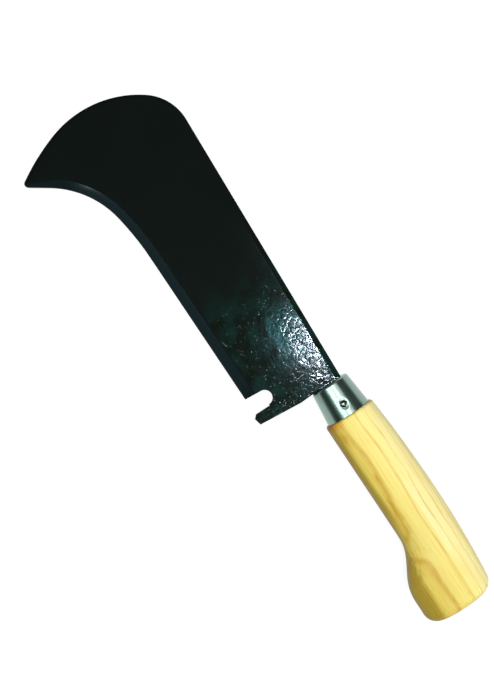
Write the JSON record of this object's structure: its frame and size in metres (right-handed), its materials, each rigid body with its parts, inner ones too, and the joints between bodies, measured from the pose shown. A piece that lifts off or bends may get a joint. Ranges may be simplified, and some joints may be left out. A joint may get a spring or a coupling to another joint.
{
  "type": "billhook",
  "caption": "One-hand billhook with a hooked double-bevel blade, a hanging hook at the heel, a tapered steel ferrule and a swelled wooden handle, for cutting and pulling branches.",
  "frame": {"origin": "middle of the tool's base as it lies flat", "axes": "+X from the handle to the crown of the blade, +Y towards the cutting edge and the beak, +Z square to the blade"},
  "size_m": [0.388, 0.1118, 0.0318],
  "materials": {
    "lacquered_steel": "glossy black lacquer over forged steel, smooth towards the crown and pitted towards the heel",
    "ferrule_steel": "bright drawn steel",
    "nail_steel": "dull steel",
    "ash": "smooth varnished pale ash with long golden grain"
  },
  "bodies": {
    "root": {"blade": "lacquered_steel", "ferrule": "ferrule_steel", "ferrule_nail": "nail_steel", "handle": "ash"}
  },
  "joints": []
}
